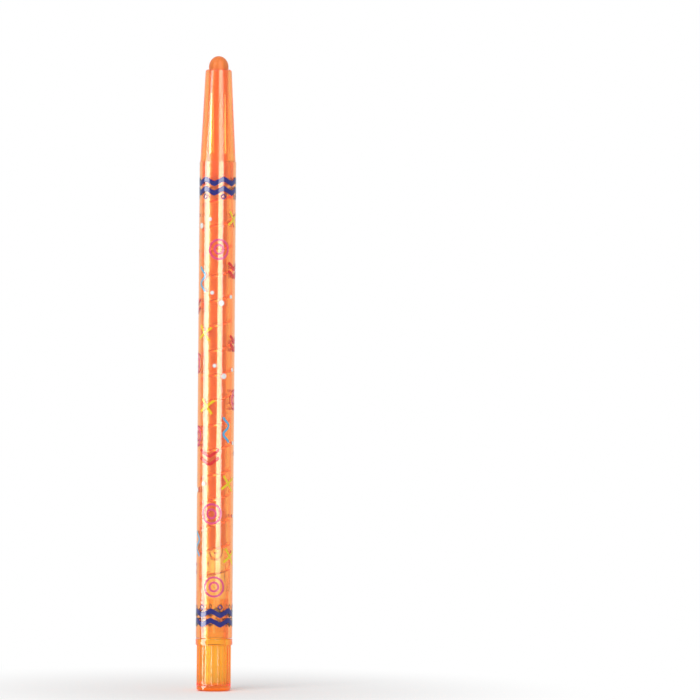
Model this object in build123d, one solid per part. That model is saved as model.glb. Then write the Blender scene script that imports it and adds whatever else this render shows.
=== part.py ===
from build123d import *
import os
from math import atan, ceil, degrees, pi

# Twist crayon: a fluted knob winds a wax stick out of a clear barrel. All sizes are in millimetres.
# The axis is Z, the tip is up, and Z 0 is the flat end of the knob.

# Wax stick
wax_diameter = 4.9
wax_out = 3.4

# Walls of the nested tubes, from the wax outwards
holder_wall = 0.3
drive_wall = 0.4
sleeve_wall = 0.6
barrel_wall = 0.67

# Lengths along the axis
grip_length = 11.25
ring_length = 1.7
barrel_length = 119.0
nose_length = 23.0

# Knob
grip_step = 0.3
grip_edge = 0.5
knob_floor = 1.4
flute_count = 18
flute_radius = 0.6
flute_depth = 0.25
flute_margin = 1.3
neck_length = 9.8
neck_wall = 0.6
slit_width = 0.8
bead_height = 0.2
bead_width = 1.0
bead_offset = 4.4

# Barrel
barrel_edge = 0.15
bearing_length = 11.8
bearing_step = 0.33

# Nose
nose_step = 0.2
lip_wall = 0.73
lip_radius = 0.6
spigot_length = 6.0
spigot_wall = 0.7
cavity_straight = 6.0
nose_land = 4.0
rib_count = 6
rib_width = 0.5
rib_root = 0.18
rib_offset = 2.0
rib_length = 15.0

# Drive: one right-handed track, two straight slots and two lugs
lead = 6.2
track_width = 0.75
track_depth = 0.36
track_run_out = 1.55
slot_width = 1.9
slot_end_ring = 2.4
slot_end_room = 1.1
tail_length = 8.2
tail_wall = 0.5

# Wax holder
holder_setback = 22.6
holder_floor = 1.6
holder_length = 9.0
lug_offset = 1.3
lug_width = 1.3
retract_turns = 1.25

# Clearances
press_fit = 0.02
slide_fit = 0.08
running_fit = 0.06
track_play = 0.15
key_play = 0.1
axial_play = 0.15
thrust_play = 0.3
bead_play = 0.08

# Radii that follow from the walls and the fits
wax_radius = wax_diameter / 2
cup_radius = wax_radius + press_fit
holder_radius = cup_radius + holder_wall
drive_bore = holder_radius + slide_fit
drive_radius = drive_bore + drive_wall
sleeve_bore = drive_radius + running_fit
sleeve_radius = sleeve_bore + sleeve_wall
barrel_bore = sleeve_radius + press_fit
barrel_radius = barrel_bore + barrel_wall
bearing_bore = barrel_bore - bearing_step
neck_radius = bearing_bore - running_fit
neck_bore = neck_radius - neck_wall
tail_radius = neck_bore - press_fit
grip_radius = barrel_radius - grip_step
nose_base_radius = barrel_radius - nose_step
nose_bore = wax_radius + slide_fit
nose_mouth_radius = nose_bore + lip_wall
spigot_radius = barrel_bore - press_fit
cavity_radius = spigot_radius - spigot_wall
track_floor = sleeve_bore + track_depth

# Heights that follow from the lengths
ring_top = grip_length + ring_length
barrel_rear = ring_top + axial_play
barrel_front = barrel_rear + barrel_length
mouth = barrel_front + nose_length
tip = mouth + wax_out
neck_top = barrel_rear + neck_length
bead_middle = barrel_rear + bead_offset
sleeve_rear = barrel_rear + bearing_length
sleeve_front = barrel_front - spigot_length
drive_front = sleeve_front - thrust_play
holder_rear = barrel_rear + holder_setback
lug_height = holder_rear + lug_offset
wax_rear = holder_rear + holder_floor

# A cutter reaches this far past what it cuts
overcut = 1.0


def column(radius, low, high):
    """A solid cylinder on the axis between two heights."""
    return Pos(0, 0, low) * Cylinder(radius, high - low, align=(Align.CENTER, Align.CENTER, Align.MIN))


def tube(outer, inner, low, high):
    """A hollow cylinder on the axis between two heights."""
    return column(outer, low, high) - column(inner, low - overcut, high + overcut)


def bead(root, height, width, middle):
    """A ring round the axis with sloping flanks, for a snap fit."""
    flank = width / 4
    section = Plane.XZ * Polygon(
        (root - overcut / 2, middle - width / 2),
        (root, middle - width / 2),
        (root + height, middle - flank),
        (root + height, middle + flank),
        (root, middle + width / 2),
        (root - overcut / 2, middle + width / 2),
        align=None,
    )
    return revolve(section, Axis.Z)


def vee(root, reach):
    """Section of the track or of a lug: two flanks of the track's slope that meet at the reach."""
    half_width = (reach - root) * track_width / 2 / track_depth
    return Polygon((root, -half_width), (reach, 0), (root, half_width), align=None)


def make_barrel():
    """Clear tube with a narrower bearing at the rear, where a groove holds the knob's bead."""
    body = column(barrel_radius, barrel_rear, barrel_front)
    body = chamfer(body.edges().filter_by(GeomType.CIRCLE), barrel_edge)
    body -= column(barrel_bore, sleeve_rear, barrel_front + overcut)
    body -= column(bearing_bore, barrel_rear - overcut, sleeve_rear + overcut)
    groove_height = neck_radius + bead_height + bead_play - bearing_bore
    body -= bead(bearing_bore, groove_height, bead_width + 4 * bead_play, bead_middle)
    return body


def make_nose():
    """Tapered nose with a rounded lip, a spigot in the barrel and ribs that centre the wax."""
    cone = Pos(0, 0, barrel_front) * Cone(
        nose_base_radius, nose_mouth_radius, nose_length, align=(Align.CENTER, Align.CENTER, Align.MIN)
    )
    cone = fillet(cone.edges().sort_by(Axis.Z)[-1], lip_radius)
    shell = cone + column(spigot_radius, sleeve_front, barrel_front)
    cavity_top = barrel_front + cavity_straight
    land_rear = mouth - nose_land
    hollow = column(cavity_radius, sleeve_front - overcut, cavity_top)
    hollow += Pos(0, 0, cavity_top) * Cone(
        cavity_radius, nose_bore, land_rear - cavity_top, align=(Align.CENTER, Align.CENTER, Align.MIN)
    )
    hollow += column(nose_bore, land_rear, mouth + overcut)
    rib_reach = cavity_radius - nose_bore + rib_root
    rib = Pos(nose_bore, 0, barrel_front + rib_offset) * Box(
        rib_reach, rib_width, rib_length, align=(Align.MIN, Align.CENTER, Align.MIN)
    )
    ribs = PolarLocations(0, rib_count) * rib
    return shell - hollow + ribs - column(nose_bore, sleeve_front, mouth + overcut)


def make_sleeve():
    """Liner of the barrel, with the helical track that the holder's lugs climb."""
    rise = lead / 2
    path = Helix(lead, rise, sleeve_bore)
    section = Plane(path @ 0, x_dir=(1, 0, 0), z_dir=path % 0) * vee(-track_depth, track_depth)
    half_turn = sweep(section, path, is_frenet=True)
    below = ceil((lug_height - sleeve_rear + track_run_out) / rise)
    above = ceil((sleeve_front - lug_height + track_run_out) / rise)
    track = [
        Pos(0, 0, lug_height + count * rise) * Rot(0, 0, 180 * count) * half_turn
        for count in range(-below, above)
    ]
    return tube(sleeve_radius, sleeve_bore, sleeve_rear, sleeve_front) - track


def make_knob():
    """Fluted cup with a ring against the barrel and a slit neck that snaps into the bearing."""
    grip = chamfer(column(grip_radius, 0, grip_length).edges().sort_by(Axis.Z)[0], grip_edge)
    ring = chamfer(column(barrel_radius, grip_length, ring_top).edges().sort_by(Axis.Z)[0], grip_step)
    flute = column(flute_radius, flute_margin, grip_length)
    flute_centre = grip_radius + flute_radius - flute_depth
    body = grip - PolarLocations(flute_centre, flute_count) * flute + ring
    body += column(neck_radius, ring_top, neck_top)
    body += bead(neck_radius, bead_height, bead_width, bead_middle)
    body -= column(neck_bore, knob_floor, neck_top + overcut)
    slit_low = neck_top - tail_length - thrust_play
    body -= Pos(0, 0, slit_low) * Box(
        slit_width, 2 * (neck_radius + overcut), neck_length, align=(Align.CENTER, Align.CENTER, Align.MIN)
    )
    return body


def make_drive_tube():
    """Tube with two straight slots for the lugs and a keyed tail in the knob's neck."""
    slot_low = lug_height - retract_turns * lead - slot_end_room
    slot_high = drive_front - slot_end_ring
    body = tube(drive_radius, drive_bore, neck_top, drive_front)
    body -= Pos(0, 0, slot_low) * Box(
        2 * (drive_radius + overcut),
        slot_width,
        slot_high - slot_low,
        align=(Align.CENTER, Align.CENTER, Align.MIN),
    )
    tail_low = neck_top - tail_length
    tail = column(tail_radius, tail_low, neck_top + drive_wall)
    keys = Pos(0, 0, tail_low) * Box(
        slit_width - 2 * key_play,
        2 * (neck_radius - press_fit),
        tail_length,
        align=(Align.CENTER, Align.CENTER, Align.MIN),
    )
    return body + tail + keys - column(tail_radius - tail_wall, tail_low - overcut, neck_top + overcut)


def make_holder():
    """Cup for the wax, with two lugs that pass the slots and follow the track half a turn apart."""
    cup = column(holder_radius, holder_rear, holder_rear + holder_length)
    cup -= column(cup_radius, wax_rear, holder_rear + holder_length + overcut)
    lug_reach = track_floor - track_play
    lead_angle = degrees(atan(lead / (2 * pi * lug_reach)))
    blade = extrude(Plane.XZ * vee(cup_radius, lug_reach), lug_width / 2, both=True)
    lug = Pos(0, 0, lug_height) * Rot(lead_angle, 0, 0) * blade
    far_lug = Pos(0, 0, lead / 2) * Rot(0, 0, 180) * lug
    return cup + lug + far_lug


def make_wax():
    """Round stick with a domed tip."""
    shoulder = tip - wax_radius
    return column(wax_radius, wax_rear, shoulder) + Pos(0, 0, shoulder) * Sphere(wax_radius)


nodes = {
    "barrel": make_barrel,
    "nose_cone": make_nose,
    "spiral_sleeve": make_sleeve,
    "twist_knob": make_knob,
    "drive_tube": make_drive_tube,
    "wax_holder": make_holder,
    "wax_stick": make_wax,
}

os.makedirs("parts", exist_ok=True)
for name, make in nodes.items():
    export_step(make(), f"parts/{name}.step")
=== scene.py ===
"""Looks of a twist crayon: clear nested tubes, wax, fluted knob, printed marks and a plain studio."""

from math import radians, tau

import bmesh
import bpy
import numpy as np
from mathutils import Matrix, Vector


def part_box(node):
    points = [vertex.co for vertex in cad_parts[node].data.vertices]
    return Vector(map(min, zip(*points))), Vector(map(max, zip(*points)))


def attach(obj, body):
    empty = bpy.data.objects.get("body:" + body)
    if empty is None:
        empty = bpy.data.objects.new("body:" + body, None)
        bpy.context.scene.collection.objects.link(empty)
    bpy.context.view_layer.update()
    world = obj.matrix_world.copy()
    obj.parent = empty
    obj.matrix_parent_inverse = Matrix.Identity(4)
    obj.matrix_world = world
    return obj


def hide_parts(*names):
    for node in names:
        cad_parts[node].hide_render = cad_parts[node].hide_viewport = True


bl_info = {
    "name": "Twist Crayon",
    "version": (1, 0, 0),
    "blender": (4, 5, 0),
    "location": "View3D > Sidebar > Crayon",
    "description": "Builds the visible pieces of a twist crayon round its packed frame",
    "category": "Add Mesh",
}

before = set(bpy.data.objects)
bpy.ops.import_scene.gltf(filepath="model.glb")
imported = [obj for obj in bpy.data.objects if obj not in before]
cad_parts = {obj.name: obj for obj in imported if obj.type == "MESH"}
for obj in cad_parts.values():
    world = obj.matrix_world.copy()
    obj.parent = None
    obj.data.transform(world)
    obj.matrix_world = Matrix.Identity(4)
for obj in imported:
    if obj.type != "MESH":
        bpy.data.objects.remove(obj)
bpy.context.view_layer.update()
MM = 0.001

# Points nearer than this are one point, and edges that bend by more than this stay sharp
MERGE = 1e-7
SHARP = radians(28.0)


def top(node):
    """Highest point of a node of the frame."""
    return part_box(node)[1].z


def bottom(node):
    """Lowest point of a node of the frame."""
    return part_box(node)[0].z


def radius(node):
    """Largest reach of a node of the frame from the axis."""
    return max(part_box(node)[1].x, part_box(node)[1].y)


def size(label, description, default):
    """A length that a user may change, in metres."""
    settings = {"min": 0.0, "precision": 6, "subtype": "DISTANCE", "unit": "LENGTH"}
    return bpy.props.FloatProperty(name=label, description=description, default=default, **settings)


def tilt(label, description, default):
    """An angle that a user may change, given in degrees."""
    settings = {"default": radians(default), "subtype": "ANGLE", "unit": "ROTATION"}
    return bpy.props.FloatProperty(name=label, description=description, **settings)


def number(label, description, default):
    """A plain number that a user may change."""
    return bpy.props.FloatProperty(name=label, description=description, default=default, min=0.0)


def colour(label, description, default):
    """A colour that a user may change, in linear values."""
    return bpy.props.FloatVectorProperty(
        name=label, description=description, default=default, min=0.0, max=1.0, size=3, subtype="COLOR"
    )


def count(label, description, default):
    """A number of repeats that a user may change."""
    return bpy.props.IntProperty(name=label, description=description, default=default, min=1)


class CrayonTubes(bpy.types.PropertyGroup):
    """Sizes of the barrel, the nose and the wax"""

    ink: size("Ink", "Thickness of the printed ink on the barrel", 0.03 * MM)
    air: size("Air", "Hair of air between clear pieces", 0.02 * MM)
    barrel_radius: size("Barrel radius", "Outside of the ink on the barrel", radius("barrel"))
    barrel_rear: size("Barrel rear", "Height of the barrel's rear end", bottom("barrel"))
    barrel_front: size("Barrel front", "Height of the barrel's front end", top("barrel"))
    barrel_edge: size("Barrel edge", "Rounding of the barrel's ends", 0.15 * MM)
    barrel_wall: size("Barrel wall", "Thickness of the barrel's wall", 0.67 * MM)
    bearing_step: size("Bearing step", "How far the rear bearing stands in the bore", 0.33 * MM)
    groove_depth: size("Groove depth", "Depth of the groove for the knob's bead", 0.22 * MM)
    groove_middle: size("Groove middle", "Height of that groove", bottom("barrel") + 4.4 * MM)
    groove_width: size("Groove width", "Width of that groove", 1.32 * MM)
    nose_base: size("Nose base", "Radius of the nose beside the barrel", radius("barrel") - 0.2 * MM)
    nose_mouth: size("Nose mouth", "Radius of the nose's mouth before rounding", 3.26 * MM)
    nose_top: size("Nose top", "Height of the nose's mouth", top("nose_cone"))
    nose_bore: size("Nose bore", "Radius of the nose's guide for the wax", 2.53 * MM)
    nose_land: size("Nose land", "Length of the guide behind the mouth", 4.0 * MM)
    lip_radius: size("Lip radius", "Rounding of the nose's mouth", 0.6 * MM)
    spigot_rear: size("Spigot rear", "Height of the nose's rear end", bottom("nose_cone"))
    spigot_radius: size("Spigot radius", "Outside of the nose's spigot", 3.91 * MM)
    cavity_radius: size("Cavity radius", "Inside of the nose behind its taper", 3.21 * MM)
    cavity_straight: size("Cavity straight", "Length of that cavity before its taper", 6.0 * MM)
    rib_width: size("Rib width", "Width of a rib in the nose", 0.5 * MM)
    rib_offset: size("Rib offset", "Gap from the barrel's end to the ribs", 2.0 * MM)
    rib_length: size("Rib length", "Length of the ribs", 15.0 * MM)
    rib_count: count("Ribs", "Number of ribs in the nose", 6)
    wax_radius: size("Wax radius", "Radius of the wax stick", radius("wax_stick"))
    wax_rear: size("Wax rear", "Height of the wax stick's rear end", bottom("wax_stick"))
    wax_tip: size("Wax tip", "Height of the wax stick's tip", top("wax_stick"))
    dome_height: size("Dome height", "Height of the wax stick's rounded tip", 2.75 * MM)


class CrayonDrive(bpy.types.PropertyGroup):
    """Sizes of the knob, the sleeve, the drive tube and the wax holder"""

    grip_radius: size("Grip radius", "Radius of the knob between its flutes", 4.3 * MM)
    grip_length: size("Grip length", "Length of the fluted grip", 11.25 * MM)
    grip_edge: size("Grip edge", "Rounding of the knob's end", 0.5 * MM)
    ring_radius: size("Ring radius", "Radius of the knob's ring", radius("twist_knob"))
    ring_top: size("Ring top", "Height of the face against the barrel", 12.95 * MM)
    ring_chamfer: size("Ring chamfer", "Slope under the ring", 0.3 * MM)
    ring_edge: size("Ring edge", "Rounding of the ring beside the barrel", 0.1 * MM)
    knob_floor: size("Knob floor", "Thickness of the knob's floor", 1.4 * MM)
    flute_radius: size("Flute radius", "Radius of a flute's section", 0.6 * MM)
    flute_depth: size("Flute depth", "Depth of a flute", 0.25 * MM)
    flute_start: size("Flute start", "Height where the flutes start", 1.3 * MM)
    flute_count: count("Flutes", "Number of flutes round the knob", 18)
    neck_radius: size("Neck radius", "Outside of the knob's neck", 3.54 * MM)
    neck_bore: size("Neck bore", "Inside of the knob's neck", 2.94 * MM)
    neck_top: size("Neck top", "Height of the neck's end", top("twist_knob"))
    bead_height: size("Bead height", "How far the snap bead stands out", 0.2 * MM)
    bead_width: size("Bead width", "Width of the snap bead", 1.0 * MM)
    slit_width: size("Slit width", "Width of the neck's slits", 0.8 * MM)
    slit_low: size("Slit low", "Height where the slits start", top("twist_knob") - 8.5 * MM)
    sleeve_radius: size("Sleeve radius", "Outside of the spiral sleeve", radius("spiral_sleeve"))
    sleeve_bore: size("Sleeve bore", "Inside of the spiral sleeve", 3.31 * MM)
    sleeve_rear: size("Sleeve rear", "Height of the sleeve's rear end", bottom("spiral_sleeve"))
    sleeve_front: size("Sleeve front", "Height of the sleeve's front end", top("spiral_sleeve"))
    lead: size("Lead", "Rise of the track in one turn", 6.2 * MM)
    track_width: size("Track width", "Width of the track at the bore", 0.75 * MM)
    track_depth: size("Track depth", "Depth of the track", 0.36 * MM)
    drive_bore: size("Drive bore", "Inside of the drive tube", 2.85 * MM)
    drive_radius: size("Drive radius", "Outside of the drive tube", 3.25 * MM)
    drive_front: size("Drive front", "Height of the drive tube's front end", top("drive_tube"))
    slot_width: size("Slot width", "Width of the drive tube's slots", 1.9 * MM)
    slot_low: size("Slot low", "Height where the slots start", 28.15 * MM)
    slot_high: size("Slot high", "Height where the slots end", 123.4 * MM)
    tail_rear: size("Tail rear", "Height of the drive tube's rear end", bottom("drive_tube"))
    tail_radius: size("Tail radius", "Outside of the drive tube's tail", 2.92 * MM)
    tail_bore: size("Tail bore", "Inside of the drive tube's tail", 2.42 * MM)
    key_width: size("Key width", "Width of the tail's keys", 0.6 * MM)
    key_reach: size("Key reach", "Reach of the tail's keys from the axis", 3.52 * MM)
    holder_radius: size("Holder radius", "Outside of the wax holder's cup", 2.77 * MM)
    holder_cup: size("Holder cup", "Inside of the wax holder's cup", 2.47 * MM)
    holder_rear: size("Holder rear", "Height of the wax holder's rear end", bottom("wax_holder"))
    holder_front: size("Holder front", "Height of the wax holder's front end", top("wax_holder"))
    holder_floor: size("Holder floor", "Thickness of the wax holder's floor", 1.6 * MM)
    holder_edge: size("Holder edge", "Rounding of the wax holder's ends", 0.1 * MM)
    lug_height: size("Lug height", "Height of the first lug", bottom("wax_holder") + 1.3 * MM)
    lug_reach: size("Lug reach", "Reach of the lugs from the axis", radius("wax_holder"))
    lug_width: size("Lug width", "Width of a lug round the axis", 1.3 * MM)


class CrayonPrint(bpy.types.PropertyGroup):
    """Sizes and colours of the print on the barrel"""

    wave_count: count("Waves", "Waves of a band round the barrel", 6)
    wave_rise: size("Wave rise", "Height of a wave from trough to crest", 1.1 * MM)
    wave_point: number("Wave point", "0 for round waves, towards 1 for pointed ones", 0.93)
    wave_turn: tilt("Wave turn", "From the middle of the front to the nearest trough", 20.5)
    stripe_width: size("Stripe width", "Width of a zigzag stripe", 1.3 * MM)
    stripe_pitch: size("Stripe pitch", "Distance from one stripe to the next", 2.35 * MM)
    band_rear: size("Rear band", "Height of the first stripe of the rear band", 17.1 * MM)
    band_front: size("Front band", "Height of the first stripe of the front band", 127.05 * MM)
    diamond_size: size("Diamond size", "Half width of the small diamonds", 0.62 * MM)
    diamond_lift: number("Diamond lift", "Stripe pitches from the first stripe to the diamonds", 1.62)
    diamond_line: number("Diamond line", "Width of a diamond's line to its half width", 0.45)
    mark_margin: size("Mark margin", "Gap from the barrel's ends to the marks", 14.5 * MM)
    mark_rows: count("Mark rows", "Rows of marks along the barrel", 13)
    mark_places: count("Mark places", "Marks round the barrel in a row", 3)
    mark_shift: number("Mark shift", "Places that a row is turned from the one behind it", 0.46)
    mark_stagger: size("Mark stagger", "Rise from one mark of a row to the next", 1.6 * MM)
    indigo: colour("Indigo", "Ink of the zigzag bands", (0.002, 0.005, 0.20))
    pink: colour("Pink", "Ink of the rings", (0.82, 0.08, 0.24))
    red: colour("Red", "Ink of the chevrons", (0.78, 0.02, 0.02))
    yellow: colour("Yellow", "Ink of the crosses", (0.95, 0.68, 0.01))
    cyan: colour("Cyan", "Ink of the wavy bars", (0.10, 0.45, 0.75))
    white: colour("White", "Ink of the dots", (0.92, 0.90, 0.88))


class CrayonFinish(bpy.types.PropertyGroup):
    """Colours of the plastics and the wax"""

    barrel: colour("Barrel", "Tint of the barrel's skin", (1.0, 0.84, 0.66))
    barrel_depth: colour("Barrel depth", "Light that the barrel lets through", (0.996, 0.80, 0.45))
    liner: colour("Liner", "Tint of the skins of the sleeve and the drive tube", (1.0, 0.96, 0.86))
    liner_depth: colour("Liner depth", "Light that these two tubes let through", (0.996, 0.76, 0.38))
    knob: colour("Knob", "Tint of the knob's skin", (1.0, 0.84, 0.44))
    knob_depth: colour("Knob depth", "Light that the knob lets through", (0.996, 0.86, 0.35))
    nose: colour("Nose", "Tint of the nose's skin", (1.0, 0.726, 0.50))
    nose_depth: colour("Nose depth", "Light that the nose lets through", (0.996, 0.90, 0.55))
    edge: colour("Edge", "Tint of the barrel and the nose seen at a slant", (0.95, 0.35, 0.11))
    knob_edge: colour("Knob edge", "Tint of the knob seen at a slant", (0.96, 0.50, 0.13))
    holder: colour("Holder", "Plastic of the wax holder", (0.85, 0.24, 0.05))
    wax: colour("Wax", "Wax stick", (0.87, 0.205, 0.03))


class CrayonStage(bpy.types.PropertyGroup):
    """Camera, floor and light"""

    distance: size("Camera distance", "Distance from the axis to the camera", 1.2)
    view_width: size("View width", "Width of the picture at the crayon", 175.0 * MM)
    aside: size("Camera aside", "How far the camera stands to the right", 33.4 * MM)
    height: size("Camera height", "Height of the camera", 85.3 * MM)
    roll: tilt("Camera roll", "Turn of the camera, which leans the crayon to the right", 0.48)
    floor: colour("Floor", "Paper of the floor", (0.97, 0.97, 0.97))
    floor_radius: size("Floor radius", "Radius of the floor", 6.0)
    floor_gap: size("Floor gap", "Gap between the knob's end and the floor", 0.1 * MM)
    shade_start: size("Shade start", "Distance where the floor starts to turn white", 10.0 * MM)
    shade_end: size("Shade end", "Distance where the floor is white", 100.0 * MM)
    surround: number("Surround", "Strength of the white surround as a light", 0.62)
    strip_height: size("Strip height", "Height of the two lights beside the crayon", 0.24)
    key_size: size("Key size", "Width of the soft light above", 0.9)
    key_light: number("Key light", "Strength of the soft light above", 3.2)


# Surfaces


def paired(first, second):
    """Two columns of numbers side by side, where either may be one number."""
    return np.stack(np.broadcast_arrays(first, second), axis=1)


def around(columns):
    """Even steps of angle once round the axis."""
    return np.arange(columns) * tau / columns


def from_repeat(angle, repeats):
    """Angle to the nearest of a pattern's even repeats round the axis."""
    turn = tau / repeats
    return np.abs((angle + turn / 2) % turn - turn / 2)


def spun(rows, columns):
    """Points of a turned surface: each row's radius and height carried round the axis in even steps."""
    rows = np.asarray(rows, float)
    angle = around(columns)
    reach = rows[:, :1]
    height = np.broadcast_to(rows[:, 1:2], (len(rows), columns))
    return np.stack([reach * np.cos(angle), reach * np.sin(angle), height], axis=2)


def arc(middle, reach, start, end, steps=8):
    """Points on a circle in the profile plane from one angle to another, in degrees."""
    angle = np.radians(np.linspace(start, end, steps + 1))
    return paired(middle[0] + reach * np.cos(angle), middle[1] + reach * np.sin(angle))


def ridge(foot, crest, middle, width):
    """Points of a bead or a groove in a profile: sloped flanks, and a crest half as wide as its foot."""
    heights = middle + width * np.array([-0.5, -0.25, 0.25, 0.5])
    return paired([foot, crest, crest, foot], heights)


def quads(points, close_rows):
    """Corners of every cell of a grid whose columns go round, and whose rows do so if they close."""
    rows, columns = points.shape[:2]
    ids = np.arange(rows * columns).reshape(rows, columns)
    if close_rows:
        ids = np.concatenate([ids, ids[:1]])
    ids = np.concatenate([ids, ids[:, :1]], axis=1)
    return np.stack([ids[:-1, :-1], ids[:-1, 1:], ids[1:, 1:], ids[1:, :-1]], axis=2)


def grid(points, close_rows=True):
    """A closed surface from a grid of points: its cells, with collapsed rows as its poles."""
    return points.reshape(-1, 3), quads(points, close_rows).reshape(-1, 4)


def shell(outer, inner, solid):
    """A wall between two grids: the cells marked solid on both, and walls where a solid cell ends."""
    rows, columns = outer.shape[:2]
    points = np.concatenate([outer.reshape(-1, 3), inner.reshape(-1, 3)])
    cells = quads(outer, False)
    shift = rows * columns
    faces = [cells[solid], cells[solid][:, ::-1] + shift]
    edge_pairs = ((0, 1, -1, 0), (2, 3, 1, 0), (3, 0, 0, -1), (1, 2, 0, 1))
    padded = np.zeros((rows + 1, columns), bool)
    padded[1:-1] = solid
    for first, second, step, turn in edge_pairs:
        beyond = np.roll(padded, -turn, axis=1)[1 + step : rows + step]
        ends = cells[solid & ~beyond]
        low, high = ends[:, first], ends[:, second]
        faces.append(np.stack([high, low, low + shift, high + shift], axis=1))
    return points, np.concatenate(faces)


def joined(parts):
    """Several closed surfaces as one."""
    offsets = np.cumsum([0] + [len(points) for points, faces in parts[:-1]])
    points = np.concatenate([points for points, faces in parts])
    return points, np.concatenate([faces + offset for (_, faces), offset in zip(parts, offsets)])


def skin_radius():
    """Outside of the barrel's plastic, which the ink stands on."""
    tubes = bpy.context.scene.crayon_tubes
    return tubes.barrel_radius - tubes.ink


def ink_levels():
    """Underside and top of the ink, with the underside just in the plastic."""
    ink = bpy.context.scene.crayon_tubes.ink
    return skin_radius() - ink / 10, skin_radius() + ink


def wrapped(across, along, reach):
    """Points of the barrel's skin: a distance round it, a height and a distance from the axis."""
    turn = across / skin_radius() - tau / 4
    return np.stack(np.broadcast_arrays(reach * np.cos(turn), reach * np.sin(turn), along), axis=-1)


def ribbon(across, along, width, closed=False):
    """A flat stroke of ink along a line on the barrel: the corners of its section carried along it."""
    low, high = ink_levels()
    line = paired(across, along)
    if closed:
        step = np.roll(line, -1, axis=0) - np.roll(line, 1, axis=0)
    else:
        step = np.gradient(line, axis=0)
    stride = np.linalg.norm(step, axis=1)[:, None]
    side = paired(-step[:, 1], step[:, 0]) / stride * width / 2
    left, right = line + side, line - side
    corners = [(left, high), (right, high), (right, low), (left, low)]
    section = np.stack([wrapped(edge[:, 0], edge[:, 1], reach) for edge, reach in corners], axis=1)
    if closed:
        return grid(section)
    start = np.broadcast_to(section[:1].mean(axis=1, keepdims=True), section[:1].shape)
    end = np.broadcast_to(section[-1:].mean(axis=1, keepdims=True), section[:1].shape)
    return grid(np.concatenate([start, section, end]), close_rows=False)


def dot(across, along, reach, rings=4, columns=28):
    """A round spot of ink on the barrel: rings of points out to its edge below, and back in on top."""
    low, high = ink_levels()
    share = np.linspace(0, reach, rings + 1)
    spread = np.concatenate([share, share[::-1]])[:, None]
    level = np.repeat([low, high], rings + 1)[:, None]
    angle = around(columns)
    points = wrapped(across + spread * np.cos(angle), along + spread * np.sin(angle), level)
    return grid(points, close_rows=False)


def placed(name, data):
    """A new object in the scene."""
    made = bpy.data.objects.new(name, data)
    bpy.context.scene.collection.objects.link(made)
    return made


def add_piece(name, surface, body, material, replaces=()):
    """Makes a mesh object of a surface, smooth except along sharp edges, that rides on a body."""
    points, faces = surface
    mesh = bpy.data.meshes.new(name)
    mesh.from_pydata(points.tolist(), [], faces.tolist())
    work = bmesh.new()
    work.from_mesh(mesh)
    bmesh.ops.remove_doubles(work, verts=work.verts, dist=MERGE)
    loose = [edge for edge in work.edges if not edge.link_faces]
    bmesh.ops.delete(work, geom=loose, context="EDGES")
    loose = [vertex for vertex in work.verts if not vertex.link_faces]
    bmesh.ops.delete(work, geom=loose, context="VERTS")
    work.to_mesh(mesh)
    work.free()
    mesh.shade_smooth()
    mesh.set_sharp_from_angle(angle=SHARP)
    mesh.materials.append(material)
    piece = placed(name, mesh)
    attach(piece, body)
    if replaces:
        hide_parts(*replaces)
    return piece


# Materials


class Wire:
    """A socket in a node tree, with the operators that add Math nodes."""

    def __init__(self, shader, socket):
        self.shader = shader
        self.socket = socket

    def math(self, operation, first, second):
        """One Math node."""
        return self.shader.node("ShaderNodeMath", {"operation": operation}, {0: first, 1: second})

    def __add__(self, other):
        return self.math("ADD", self, other)

    def __radd__(self, other):
        return self.math("ADD", other, self)

    def __sub__(self, other):
        return self.math("SUBTRACT", self, other)

    def __rsub__(self, other):
        return self.math("SUBTRACT", other, self)

    def __mul__(self, other):
        return self.math("MULTIPLY", self, other)

    def __rmul__(self, other):
        return self.math("MULTIPLY", other, self)


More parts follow.
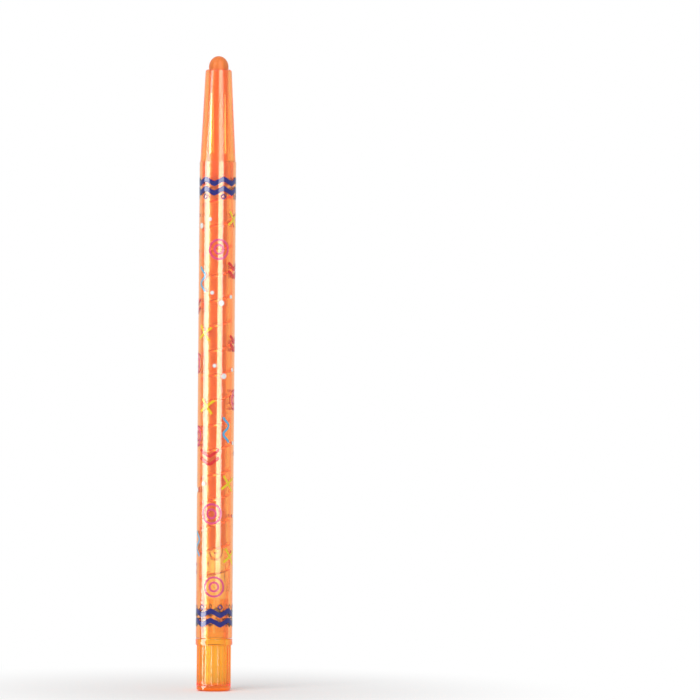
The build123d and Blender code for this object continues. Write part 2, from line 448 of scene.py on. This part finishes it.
class Shader:
    """A node tree that is being filled: a material's, a light's or the world's."""

    def __init__(self, holder):
        holder.use_nodes = True
        self.holder = holder
        self.tree = holder.node_tree
        self.tree.nodes.clear()

    def node(self, kind, settings=None, inputs=None, output=0):
        """Any node: its settings, then the values or wires of its sockets; gives one of its outputs."""
        made = self.tree.nodes.new(kind)
        for key, value in (settings or {}).items():
            setattr(made, key, value)
        for key, value in (inputs or {}).items():
            if isinstance(value, Wire):
                self.tree.links.new(value.socket, made.inputs[key])
            else:
                made.inputs[key].default_value = value
        return Wire(self, made.outputs[output]) if len(made.outputs) else made

    def place(self, lengthwise=1.0):
        """Object coordinates, scaled along the crayon's axis."""
        coordinates = self.node("ShaderNodeTexCoord", output="Object")
        values = {"Vector": coordinates, "Scale": (1.0, 1.0, lengthwise)}
        return self.node("ShaderNodeMapping", inputs=values)

    def noise(self, scale, lengthwise=1.0, detail=3.0):
        """Noise from 0 to 1 on the object's own coordinates, drawn out where lengthwise is below 1."""
        values = {"Vector": self.place(lengthwise), "Scale": scale, "Detail": detail}
        return self.node("ShaderNodeTexNoise", inputs=values)

    def ramp(self, value, start, end):
        """0 up to the start, 1 from the end, and a smooth rise between them."""
        ends = {"Value": value, "From Min": start, "From Max": end}
        return self.node("ShaderNodeMapRange", {"interpolation_type": "SMOOTHSTEP"}, ends)

    def mix(self, share, first, second):
        """A colour between two colours."""
        settings = {"data_type": "RGBA"}
        return self.node("ShaderNodeMix", settings, {0: share, 6: first, 7: second}, output=2)

    def shown(self):
        """1 for rays of the camera, reflections and clear walls, and 0 for rays that only light."""
        kinds = ("Camera", "Glossy", "Transmission")
        seen = [self.node("ShaderNodeLightPath", output=f"Is {kind} Ray") for kind in kinds]
        either = seen[0].math("MAXIMUM", seen[0], seen[1])
        return either.math("MAXIMUM", either, seen[2])

    def bump(self, height, strength, distance):
        """A normal that is bent by a height."""
        values = {"Height": height, "Strength": strength, "Distance": distance}
        return self.node("ShaderNodeBump", inputs=values)

    def finish(self, surface, absorption=None):
        """Gives a material its surface, and the colour that a thick wall takes up."""
        links = {"Surface": self.node("ShaderNodeBsdfPrincipled", inputs=surface)}
        if absorption:
            links["Volume"] = self.node("ShaderNodeVolumeAbsorption", inputs=absorption)
        self.node("ShaderNodeOutputMaterial", inputs=links)
        return self.holder


def paint(value, light=1.0):
    """A colour for a socket, made lighter or darker."""
    return tuple(min(1.0, channel * light) for channel in value) + (1.0,)


def clear_plastic(name, tint, edge, density, roughness, bend=1.49):
    """Moulded clear plastic: flow lines along the axis, handling marks and a tint in its depth."""
    finish = bpy.context.scene.crayon_finish
    skin, depth, rim = (getattr(finish, field) for field in (tint, tint + "_depth", edge))
    shader = Shader(bpy.data.materials.new(name))
    flow = shader.noise(scale=260.0, lengthwise=0.06)
    marks = shader.noise(scale=2400.0, lengthwise=0.35, detail=2.0)
    slant = shader.node("ShaderNodeLayerWeight", inputs={"Blend": 0.5}, output="Facing")
    face = shader.mix(flow, paint(skin, light=0.96), paint(skin, light=1.04))
    base = shader.mix(shader.ramp(slant, start=0.1, end=0.65), face, paint(rim))
    values = {
        "Base Color": base,
        "Roughness": roughness + 0.06 * marks,
        "Transmission Weight": 1.0,
        "IOR": bend,
        "Normal": shader.bump(flow, strength=0.12, distance=0.02 * MM),
    }
    return shader.finish(values, absorption={"Color": paint(depth), "Density": density})


def wax_material(tint):
    """Coloured wax: pressed streaks along the stick, fine grains of pigment and a satin skin."""
    shader = Shader(bpy.data.materials.new("wax"))
    streaks = shader.noise(scale=700.0, lengthwise=0.08)
    grains = shader.noise(scale=5200.0, detail=2.0)
    shade = 0.6 * streaks + 0.4 * grains
    base = shader.mix(shade, paint(tint, light=0.88), paint(tint, light=1.12))
    values = {
        "Base Color": base,
        "Roughness": 0.38 + 0.2 * grains,
        "Coat Weight": 0.12 * streaks,
        "Normal": shader.bump(0.5 * streaks + 0.5 * grains, strength=0.25, distance=0.03 * MM),
    }
    return shader.finish(values)


def moulded_plastic(name, tint):
    """Opaque moulded plastic: fine spark-worn grain and a slightly uneven sheen."""
    shader = Shader(bpy.data.materials.new(name))
    cloud = shader.noise(scale=320.0)
    grain = shader.noise(scale=6000.0, detail=2.0)
    base = shader.mix(cloud, paint(tint, light=0.94), paint(tint, light=1.06))
    values = {
        "Base Color": base,
        "Roughness": 0.3 + 0.15 * grain,
        "Normal": shader.bump(grain, strength=0.2, distance=0.02 * MM),
    }
    return shader.finish(values)


def ink_material(name, tint):
    """Screen-printed ink: small uneven spots of cover and a low gloss."""
    shader = Shader(bpy.data.materials.new(name))
    cover = shader.noise(scale=1500.0)
    speck = shader.noise(scale=9000.0, detail=1.0)
    base = shader.mix(0.7 * cover + 0.3 * speck, paint(tint, light=0.86), paint(tint, light=1.14))
    values = {
        "Base Color": base,
        "Roughness": 0.04 + 0.1 * cover,
        "Normal": shader.bump(speck, strength=0.15, distance=0.01 * MM),
    }
    return shader.finish(values)


# Pieces


class BuildBarrel(bpy.types.Operator):
    """Clear barrel: one turned wall with rounded ends, a wide bore, a rear bearing and its groove"""

    bl_idname = "crayon.build_barrel"
    bl_label = "Barrel"

    def execute(self, context):
        tubes = context.scene.crayon_tubes
        outside = skin_radius()
        bore = tubes.barrel_radius - tubes.barrel_wall
        bearing = bore - tubes.bearing_step
        bearing_front = context.scene.crayon_drive.sleeve_rear
        edge = tubes.barrel_edge
        front = tubes.barrel_front - tubes.air
        groove = bearing + tubes.groove_depth
        rows = np.concatenate([
            [(bearing, tubes.barrel_rear)],
            arc((outside - edge, tubes.barrel_rear + edge), edge, -90, 0),
            arc((outside - edge, front - edge), edge, 0, 90),
            [(bore, front), (bore, bearing_front), (bearing, bearing_front)],
            ridge(bearing, groove, tubes.groove_middle, tubes.groove_width)[::-1],
        ])
        material = clear_plastic("barrel_plastic", "barrel", "edge", density=1000.0, roughness=0.0)
        surface = grid(spun(rows, columns=192))
        add_piece("barrel_shell", surface, "barrel", material, ["barrel"])
        return {"FINISHED"}


class BuildNose(bpy.types.Operator):
    """Nose: a turned wall with a rounded lip, a spigot and a bore that narrows onto ribs"""

    bl_idname = "crayon.build_nose"
    bl_label = "Nose"

    def execute(self, context):
        tubes = context.scene.crayon_tubes
        columns = 288
        slope = (tubes.nose_base - tubes.nose_mouth) / (tubes.nose_top - tubes.barrel_front)
        lip = tubes.lip_radius
        lip_middle = (tubes.nose_mouth - lip + slope * lip, tubes.nose_top - lip)
        outside = np.concatenate([
            [(tubes.cavity_radius, tubes.spigot_rear), (tubes.spigot_radius, tubes.spigot_rear)],
            [(tubes.spigot_radius, tubes.barrel_front), (tubes.nose_base, tubes.barrel_front)],
            arc(lip_middle, lip, np.degrees(np.arctan(slope)), 90, steps=12),
            [(tubes.nose_bore, tubes.nose_top)],
        ])
        cavity_top = tubes.barrel_front + tubes.cavity_straight
        land = tubes.nose_top - tubes.nose_land
        rib_low = tubes.barrel_front + tubes.rib_offset
        rib_high = rib_low + tubes.rib_length
        # The end of a rib leans by this much
        lean = 0.02 * MM
        rib_ends = [rib_high + lean, rib_high, rib_low, rib_low - lean]
        heights = np.array(sorted([land, cavity_top, tubes.spigot_rear, *rib_ends], reverse=True))
        bore = np.interp(heights, [cavity_top, land], [tubes.cavity_radius, tubes.nose_bore])
        inside = spun(paired(bore, heights), columns)
        # Points within half a width of a rib's middle are drawn in to the guide's radius
        aside = from_repeat(around(columns), tubes.rib_count) * tubes.nose_bore
        along_rib = (heights >= rib_low) & (heights <= rib_high)
        ribbed = along_rib[:, None] & (aside <= tubes.rib_width / 2)
        scale = np.where(ribbed, tubes.nose_bore / bore[:, None], 1.0)
        inside[..., :2] *= scale[..., None]
        points = np.concatenate([spun(outside, columns), inside])
        material = clear_plastic("nose_plastic", "nose", "edge", density=1000.0, roughness=0.2)
        add_piece("nose_shell", grid(points), "barrel", material, ["nose_cone"])
        return {"FINISHED"}


class BuildSleeve(bpy.types.Operator):
    """Spiral sleeve: a tube whose inner rows follow the helical track round the axis"""

    bl_idname = "crayon.build_sleeve"
    bl_label = "Spiral sleeve"

    def execute(self, context):
        drive = context.scene.crayon_drive
        air = context.scene.crayon_tubes.air
        rear = drive.sleeve_rear + air
        front = drive.sleeve_front - air
        columns = 144
        angle = around(columns)
        # A turn of the track has a row for its lower edge, its floor and its upper edge. The track runs
        # on past both ends, where its rows lie in the end's plane, as deep as the vee is there
        turns = int(np.ceil((drive.sleeve_front - drive.sleeve_rear) / drive.lead)) + 2
        turns_below = np.ceil((drive.lug_height - drive.sleeve_rear) / drive.lead + 1)
        first = drive.lug_height - turns_below * drive.lead
        middle = first + (np.arange(turns)[:, None] + angle / tau) * drive.lead
        half = drive.track_width / 2
        height = np.stack([middle - half, middle, middle + half], axis=1).reshape(-1, columns)[::-1]
        floor = np.tile([0.0, drive.track_depth, 0.0], turns)[:, None]
        end_cut = np.clip(height, rear, front)
        beyond = np.abs(height - end_cut)
        reach = drive.sleeve_bore + np.maximum(floor - beyond * drive.track_depth / half, 0)
        inside = np.stack([reach * np.cos(angle), reach * np.sin(angle), end_cut], axis=2)
        ends = [(drive.sleeve_bore, rear), (drive.sleeve_radius, rear)]
        ends += [(drive.sleeve_radius, front), (drive.sleeve_bore, front)]
        points = np.concatenate([spun(ends, columns), inside])
        look = {"density": 400.0, "roughness": 0.1, "bend": 1.4}
        material = clear_plastic("sleeve_plastic", "liner", "liner", **look)
        add_piece("sleeve_wall", grid(points), "barrel", material, ["spiral_sleeve"])
        return {"FINISHED"}


class BuildKnob(bpy.types.Operator):
    """Knob: a fluted cup, a ring and a slit neck, as one wall between two turned grids"""

    bl_idname = "crayon.build_knob"
    bl_label = "Twist knob"

    def execute(self, context):
        drive = context.scene.crayon_drive
        tubes = context.scene.crayon_tubes
        flute_columns = 16
        columns = flute_columns * drive.flute_count
        edge = drive.grip_edge
        rim = drive.ring_edge
        slope = drive.ring_chamfer
        bead = drive.neck_radius + drive.bead_height
        start = np.linspace(drive.flute_start, drive.flute_start + drive.flute_radius, num=7)
        cup = np.concatenate([
            [(0, 0), (drive.grip_radius / 2, 0)],
            arc((drive.grip_radius - edge, edge), edge, -90, 0),
            paired(drive.grip_radius, start),
            arc((drive.grip_radius, drive.grip_length + slope), slope, -90, 0),
            arc((drive.ring_radius - rim, drive.ring_top - rim), rim, 0, 90, steps=4),
            [(drive.neck_radius, drive.ring_top), (drive.neck_radius, drive.slit_low)],
        ])
        neck = np.concatenate([
            ridge(drive.neck_radius, bead, tubes.groove_middle, drive.bead_width),
            [(drive.neck_radius, drive.neck_top)],
        ])
        outer = spun(np.concatenate([cup, neck]), columns)
        # The first half of the well's rows cross its floor, and the others climb its wall
        share = np.linspace(0, 2, len(cup))
        well_radius = np.interp(share, [0, 1], [0, drive.neck_bore])
        well_height = np.interp(share, [1, 2], [drive.knob_floor, drive.slit_low])
        bore = paired(drive.neck_bore, neck[:, 1])
        inner = spun(np.concatenate([paired(well_radius, well_height), bore]), columns)
        # The grip ends where a line from the axis enters a flute's circle, if it meets one, and a flute
        # deepens from its start along a quarter of a circle
        angle = around(columns)
        aside = from_repeat(angle, drive.flute_count)
        middle = drive.grip_radius + drive.flute_radius - drive.flute_depth
        inside = np.maximum(drive.flute_radius**2 - (middle * np.sin(aside)) ** 2, 0)
        cut = np.minimum(middle * np.cos(aside) - np.sqrt(inside), drive.grip_radius)
        cut = np.where(inside > 0, cut, drive.grip_radius)
        level = outer[:, 0, 2]
        run_in = np.clip((level - drive.flute_start) / drive.flute_radius, 0, 1)
        depth = np.sqrt(1 - (1 - run_in) ** 2) * (level <= drive.grip_length)
        scale = 1 - depth[:, None] * (1 - cut / drive.grip_radius)
        outer[..., :2] *= scale[..., None]
        solid = np.ones((len(outer) - 1, columns), bool)
        from_slit = np.abs(np.cos(angle + tau / columns / 2)) * drive.neck_radius
        solid[len(cup) - 1 :, from_slit < drive.slit_width / 2] = False
        material = clear_plastic("knob_plastic", "knob", "knob_edge", density=1400.0, roughness=0.03)
        surface = shell(outer, inner, solid)
        add_piece("knob_body", surface, "knob", material, ["twist_knob"])
        return {"FINISHED"}


class BuildDriveTube(bpy.types.Operator):
    """Drive tube: a wall with two straight slots, and a narrower tail with two keys"""

    bl_idname = "crayon.build_drive_tube"
    bl_label = "Drive tube"

    def execute(self, context):
        drive = context.scene.crayon_drive
        columns = 180
        angle = around(columns)
        shoulder = drive.neck_top + context.scene.crayon_tubes.air
        slot_ends = [drive.slot_low, drive.slot_high]
        tail = paired(drive.tail_radius, [drive.tail_rear, shoulder])
        body = paired(drive.drive_radius, [shoulder, *slot_ends, drive.drive_front])
        outer = spun(np.concatenate([tail, body]), columns)
        # The tail's bore runs on through the floor of the body, and widens up to the slots
        floor = shoulder + drive.drive_radius - drive.drive_bore
        tail_bore = paired(drive.tail_bore, [drive.tail_rear, shoulder, floor])
        body_bore = paired(drive.drive_bore, [*slot_ends, drive.drive_front])
        inner = spun(np.concatenate([tail_bore, body_bore]), columns)
        # The tail's points beside the Y axis stand out as keys, and the body's cells beside the X axis
        # are left open as slots
        keyed = np.abs(np.cos(angle)) * drive.tail_radius < drive.key_width / 2
        outer[: len(tail), keyed, :2] *= drive.key_reach / drive.tail_radius
        solid = np.ones((len(outer) - 1, columns), bool)
        from_slot = np.abs(np.sin(angle + tau / columns / 2)) * drive.drive_radius
        solid[len(tail) + 1, from_slot < drive.slot_width / 2] = False
        look = {"density": 400.0, "roughness": 0.1, "bend": 1.25}
        material = clear_plastic("drive_plastic", "liner", "liner", **look)
        surface = shell(outer, inner, solid)
        add_piece("drive_wall", surface, "knob", material, ["drive_tube"])
        return {"FINISHED"}


class BuildWax(bpy.types.Operator):
    """Wax stick: a turned rod whose tip is half an ellipse, in a moulded cup with two lugs"""

    bl_idname = "crayon.build_wax"
    bl_label = "Wax stick and holder"

    def execute(self, context):
        tubes = context.scene.crayon_tubes
        drive = context.scene.crayon_drive
        columns = 128
        angle = np.radians(np.linspace(0, 90, num=25))
        dome_heights = tubes.wax_tip - tubes.dome_height * (1 - np.sin(angle))
        dome = paired(tubes.wax_radius * np.cos(angle), dome_heights)
        rod = np.concatenate([[(0, tubes.wax_rear), (tubes.wax_radius, tubes.wax_rear)], dome])
        wax = wax_material(context.scene.crayon_finish.wax)
        add_piece("wax_rod", grid(spun(rod, columns), False), "wax", wax, ["wax_stick"])
        floor = drive.holder_rear + drive.holder_floor
        edge = drive.holder_edge
        cup = np.concatenate([
            [(0, drive.holder_rear)],
            arc((drive.holder_radius - edge, drive.holder_rear + edge), edge, -90, 0, steps=4),
            arc((drive.holder_radius - edge, drive.holder_front - edge), edge, 0, 90, steps=4),
            [(drive.holder_cup, drive.holder_front), (drive.holder_cup, floor), (0, floor)],
        ])
        lugs = [self.lug(drive, 0), self.lug(drive, 1)]
        plastic = moulded_plastic("holder_plastic", context.scene.crayon_finish.holder)
        surface = joined([grid(spun(cup, columns), False), *lugs])
        add_piece("holder_cup", surface, "wax", plastic, ["wax_holder"])
        return {"FINISHED"}

    def lug(self, drive, half_turns):
        """A vee blade on the cup, tilted along the track: three corners carried across its width."""
        root = drive.holder_cup
        half = (drive.lug_reach - root) * drive.track_width / 2 / drive.track_depth
        across = np.array([1, 1, -1, -1]) * drive.lug_width / 2
        flat = np.array([0, 1, 1, 0])
        reach = np.array([root, drive.lug_reach, root])
        rise = np.array([-half, 0, half])
        climb = drive.lead / (tau * drive.lug_reach)
        x = np.where(flat[:, None] > 0, reach, reach.mean())
        y = np.broadcast_to(across[:, None], x.shape)
        z = drive.lug_height + half_turns * drive.lead / 2 + flat[:, None] * rise + climb * y
        points = np.stack([x, y, z], axis=2)
        points[..., :2] *= 1 - 2 * half_turns
        return grid(points, close_rows=False)


class PrintBands(bpy.types.Operator):
    """Zigzag bands: stripes of ink whose height swings in waves round the barrel, and small diamonds"""

    bl_idname = "crayon.print_bands"
    bl_label = "Zigzag bands"

    def execute(self, context):
        sizes = context.scene.crayon_print
        length = tau * skin_radius()
        columns = 288
        across = np.arange(columns) * length / columns
        trough = sizes.wave_turn * skin_radius()
        phase = (across - trough) * sizes.wave_count * tau / length
        # The arc sine of a cosine has straight flanks, and its crests are as sharp as the point says
        swing = -np.arcsin(sizes.wave_point * np.cos(phase)) / np.arcsin(sizes.wave_point)
        swing *= sizes.wave_rise / 2
        lift = sizes.diamond_lift * sizes.stripe_pitch
        strokes = []
        for base, towards in ((sizes.band_rear, 1), (sizes.band_front, -1)):
            for stripe in range(2):
                height = base + towards * (stripe * sizes.stripe_pitch + swing)
                strokes.append(self.stripe(across, height, sizes.stripe_width))
            for wave in range(sizes.wave_count):
                place = trough + wave * length / sizes.wave_count
                strokes.append(self.diamond(sizes, place, base + towards * lift))
        material = ink_material("indigo_ink", sizes.indigo)
        add_piece("zigzag_bands", joined(strokes), "barrel", material)
        return {"FINISHED"}

    def stripe(self, across, height, width):
        """A band of ink of even height: the corners of its section carried round on the wave."""
        low, high = ink_levels()
        reach = np.array([high, high, low, low])[:, None]
        lift = np.array([-1, 1, 1, -1])[:, None] * width / 2
        return grid(wrapped(across, height + lift, reach))

    def diamond(self, sizes, place, height):
        """A diamond's outline, where the steps across and along add up to its half width."""
        angle = around(columns=32)
        spread = sizes.diamond_size / (np.abs(np.cos(angle)) + np.abs(np.sin(angle)))
        across = place + spread * np.cos(angle)
        line = sizes.diamond_size * sizes.diamond_line
        return ribbon(across, height + spread * np.sin(angle), line, closed=True)


class PrintMarks(bpy.types.Operator):
    """Scattered marks: rings, chevrons, crosses, wavy bars and dots of ink along a steep spiral"""

    bl_idname = "crayon.print_marks"
    bl_label = "Scattered marks"

    def execute(self, context):
        sizes = context.scene.crayon_print
        tubes = context.scene.crayon_tubes
        makers = [
            ("pink_rings", sizes.pink, self.ring),
            ("red_chevrons", sizes.red, self.chevron),
            ("yellow_crosses", sizes.yellow, self.cross),
            ("cyan_waves", sizes.cyan, self.wave),
            ("white_dots", sizes.white, self.dots),
        ]
        strokes = {name: [] for name, tint, make in makers}
        low = tubes.barrel_rear + sizes.mark_margin
        high = tubes.barrel_front - sizes.mark_margin
        gap = tau * skin_radius() / sizes.mark_places
        # Marks of one kind don't stand side by side
        for row, height in enumerate(np.linspace(low, high, sizes.mark_rows)):
            for place in range(sizes.mark_places):
                name, tint, make = makers[(2 * row + 3 * place) % len(makers)]
                across = (place + row * sizes.mark_shift) * gap
                strokes[name] += make(across, height + (place - 1) * sizes.mark_stagger)
        for name, tint, make in makers:
            material = ink_material(name.split("_")[0] + "_ink", tint)
            add_piece(name, joined(strokes[name]), "barrel", material)
        return {"FINISHED"}

    def ring(self, across, along):
        """Two rings, one in the other."""
        angle = around(columns=48)
        line, inner, outer = 0.5 * MM, 1.1 * MM, 2.4 * MM
        return [
            ribbon(across + reach * np.cos(angle), along + reach * np.sin(angle), line, closed=True)
            for reach in (inner, outer)
        ]

    def chevron(self, across, along):
        """Two nested bent strokes, each a branch of a hyperbola."""
        line, half_width, rise, blunt = 0.75 * MM, 2.6 * MM, 1.9 * MM, 0.1
        side = np.linspace(-1, 1, num=25)
        bend = rise * np.sqrt(side**2 + blunt**2)
        return [
            ribbon(across + half_width * side, along + lift + bend, line)
            for lift in (-1.3 * MM, 0.7 * MM)
        ]

    def cross(self, across, along):
        """A slanting cross of two strokes."""
        line, half_length = 0.6 * MM, 2.4 * MM
        run = np.linspace(-half_length, half_length, num=13)
        return [
            ribbon(across + run * np.cos(slant), along + run * np.sin(slant), line)
            for slant in (radians(35), radians(125))
        ]

    def wave(self, across, along):
        """A wavy bar along the barrel, which swings as a sine."""
        line, half_length, swing, waves = 0.6 * MM, 3.2 * MM, 0.75 * MM, 1.5
        run = np.linspace(-1, 1, num=49)
        return [ribbon(across + swing * np.sin(run * waves * tau / 2), along + half_length * run, line)]

    def dots(self, across, along):
        """Three dots of two sizes."""
        large, small = 0.7 * MM, 0.5 * MM
        places = ((0.0, 0.0, large), (2.8 * MM, 1.6 * MM, small), (-2.4 * MM, 2.6 * MM, small))
        return [dot(across + aside, along + up, reach) for aside, up, reach in places]


class SetStage(bpy.types.Operator):
    """Stage: a pale floor, a white surround, two tall lights, a soft one above and a long lens"""

    bl_idname = "crayon.set_stage"
    bl_label = "Stage"

    def execute(self, context):
        stage = context.scene.crayon_stage
        self.floor(stage)
        self.surround(stage)
        left = {"turn": -46.0, "facing": -136.0, "away": 12.06 * MM, "width": 14.48 * MM}
        self.strip("left_strip", stage.strip_height, radiance=11.0, **left)
        right = {"turn": 22.9, "facing": 22.9, "away": 50.0 * MM, "width": 28.2 * MM}
        fade = (13.11 * MM, 41.4 * MM)
        self.strip("right_strip", stage.strip_height, radiance=8.0, fade=fade, **right)
        self.key(stage)
        camera = bpy.data.cameras.new("camera")
        camera.lens = camera.sensor_width * stage.distance / stage.view_width
        camera.clip_end = 100.0
        holder = placed("camera", camera)
        holder.location = (stage.aside, -stage.distance, stage.height)
        holder.rotation_euler = (radians(90), -stage.roll, 0)
        context.scene.camera = holder
        context.scene.view_settings.view_transform = "Standard"
        cycles = context.scene.cycles
        cycles.blur_glossy = 0.0
        cycles.max_bounces = 64
        cycles.diffuse_bounces = 8
        cycles.glossy_bounces = 48
        cycles.transmission_bounces = 64
        return {"FINISHED"}

    def floor(self, stage):
        """A wide round sheet just under the crayon: rings of points out from the middle."""
        rings = np.linspace(stage.floor_radius, 0, num=9)
        rows = paired(rings, -stage.floor_gap)
        points, faces = grid(spun(rows, columns=96), False)
        mesh = bpy.data.meshes.new("floor")
        mesh.from_pydata(points.tolist(), [], faces.tolist())
        shader = Shader(bpy.data.materials.new("floor_paper"))
        fibre = shader.noise(scale=300.0)
        base = shader.mix(fibre, paint(stage.floor, light=0.99), paint(stage.floor, light=1.01))
        dull = {"Base Color": base, "Roughness": 0.9, "Specular IOR Level": 0.0}
        paper = shader.node("ShaderNodeBsdfPrincipled", inputs=dull)
        white = shader.node("ShaderNodeEmission", inputs={"Color": (1, 1, 1, 1), "Strength": 1.0})
        length = {"operation": "LENGTH"}
        away = shader.node("ShaderNodeVectorMath", length, {0: shader.place()}, output="Value")
        far = shader.ramp(away, stage.shade_start, stage.shade_end)
        cover = shader.node("ShaderNodeMixShader", inputs={0: far * shader.shown(), 1: paper, 2: white})
        shader.node("ShaderNodeOutputMaterial", inputs={"Surface": cover})
        mesh.materials.append(shader.holder)
        piece = placed("floor", mesh)

    def surround(self, stage):
        """White to the camera, in reflections and through clear walls, and softer as a light."""
        world = bpy.data.worlds.new("surround")
        bpy.context.scene.world = world
        shader = Shader(world)
        strength = stage.surround + (1.0 - stage.surround) * shader.shown()
        glow = shader.node("ShaderNodeBackground", inputs={"Color": (1, 1, 1, 1), "Strength": strength})
        shader.node("ShaderNodeOutputWorld", inputs={"Surface": glow})

    def lamp(self, name, width, tall, radiance):
        """A rectangle that shines evenly, which the camera doesn't see."""
        light = bpy.data.lights.new(name, "AREA")
        light.shape = "RECTANGLE"
        light.size = width
        light.size_y = tall
        light.energy = radiance * np.pi * width * tall
        holder = placed(name, light)
        holder.visible_camera = False
        return holder

    def strip(self, name, tall, turn, facing, away, width, radiance, fade=None):
        """A tall light, one-sided and only in reflections, that may fade between two heights."""
        holder = self.lamp(name, width, tall, radiance)
        shader = Shader(holder.data)
        mirrored = shader.node("ShaderNodeLightPath", output="Glossy Depth")
        scattered = shader.node("ShaderNodeLightPath", output="Diffuse Depth")
        scattered = scattered.math("MINIMUM", scattered, 1.0)
        strength = mirrored.math("MINIMUM", mirrored, 1.0) * (1.0 - scattered)
        if fade:
            position = shader.node("ShaderNodeNewGeometry", output="Position")
            height = shader.node("ShaderNodeSeparateXYZ", inputs={0: position}, output="Z")
            strength = strength * shader.ramp(height, *fade)
        glow = shader.node("ShaderNodeEmission", inputs={"Color": (1, 1, 1, 1), "Strength": strength})
        shader.node("ShaderNodeOutputLight", inputs={"Surface": glow})
        turn = radians(turn)
        holder.location = (away * np.sin(turn), -away * np.cos(turn), tall / 2)
        holder.rotation_euler = (radians(90), 0, radians(facing))
        holder.visible_diffuse = False

    def key(self, stage):
        """A wide soft light high in front, for the shape of the wax and the shadow on the floor."""
        holder = self.lamp("key", stage.key_size, stage.key_size, stage.key_light)
        holder.location = (-0.5, -0.9, 1.3)
        holder.rotation_euler = (radians(40), 0, radians(-29))
        holder.visible_glossy = False


class CrayonPanel(bpy.types.Panel):
    """Lists the pieces and their sizes"""

    bl_idname = "VIEW3D_PT_crayon"
    bl_label = "Twist Crayon"
    bl_space_type = "VIEW_3D"
    bl_region_type = "UI"
    bl_category = "Crayon"

    def draw(self, context):
        for operator in operators:
            self.layout.operator(operator.bl_idname)
        for name, group in groups.items():
            box = self.layout.box()
            box.label(text=group.__doc__)
            for field in group.__annotations__:
                box.prop(getattr(context.scene, name), field)


groups = {
    "crayon_tubes": CrayonTubes,
    "crayon_drive": CrayonDrive,
    "crayon_print": CrayonPrint,
    "crayon_finish": CrayonFinish,
    "crayon_stage": CrayonStage,
}
operators = (
    BuildBarrel,
    BuildNose,
    BuildSleeve,
    BuildKnob,
    BuildDriveTube,
    BuildWax,
    PrintBands,
    PrintMarks,
    SetStage,
)


def register():
    for name, group in groups.items():
        bpy.utils.register_class(group)
        setattr(bpy.types.Scene, name, bpy.props.PointerProperty(type=group))
    for operator in operators:
        bpy.utils.register_class(operator)
    bpy.utils.register_class(CrayonPanel)


def unregister():
    bpy.utils.unregister_class(CrayonPanel)
    for operator in reversed(operators):
        bpy.utils.unregister_class(operator)
    for name, group in groups.items():
        delattr(bpy.types.Scene, name)
        bpy.utils.unregister_class(group)


def main():
    """Registers the classes, and builds every piece and the stage."""
    register()
    bpy.ops.crayon.build_barrel()
    bpy.ops.crayon.build_nose()
    bpy.ops.crayon.build_sleeve()
    bpy.ops.crayon.build_knob()
    bpy.ops.crayon.build_drive_tube()
    bpy.ops.crayon.build_wax()
    bpy.ops.crayon.print_bands()
    bpy.ops.crayon.print_marks()
    bpy.ops.crayon.set_stage()


if __name__ == "__main__":
    main()
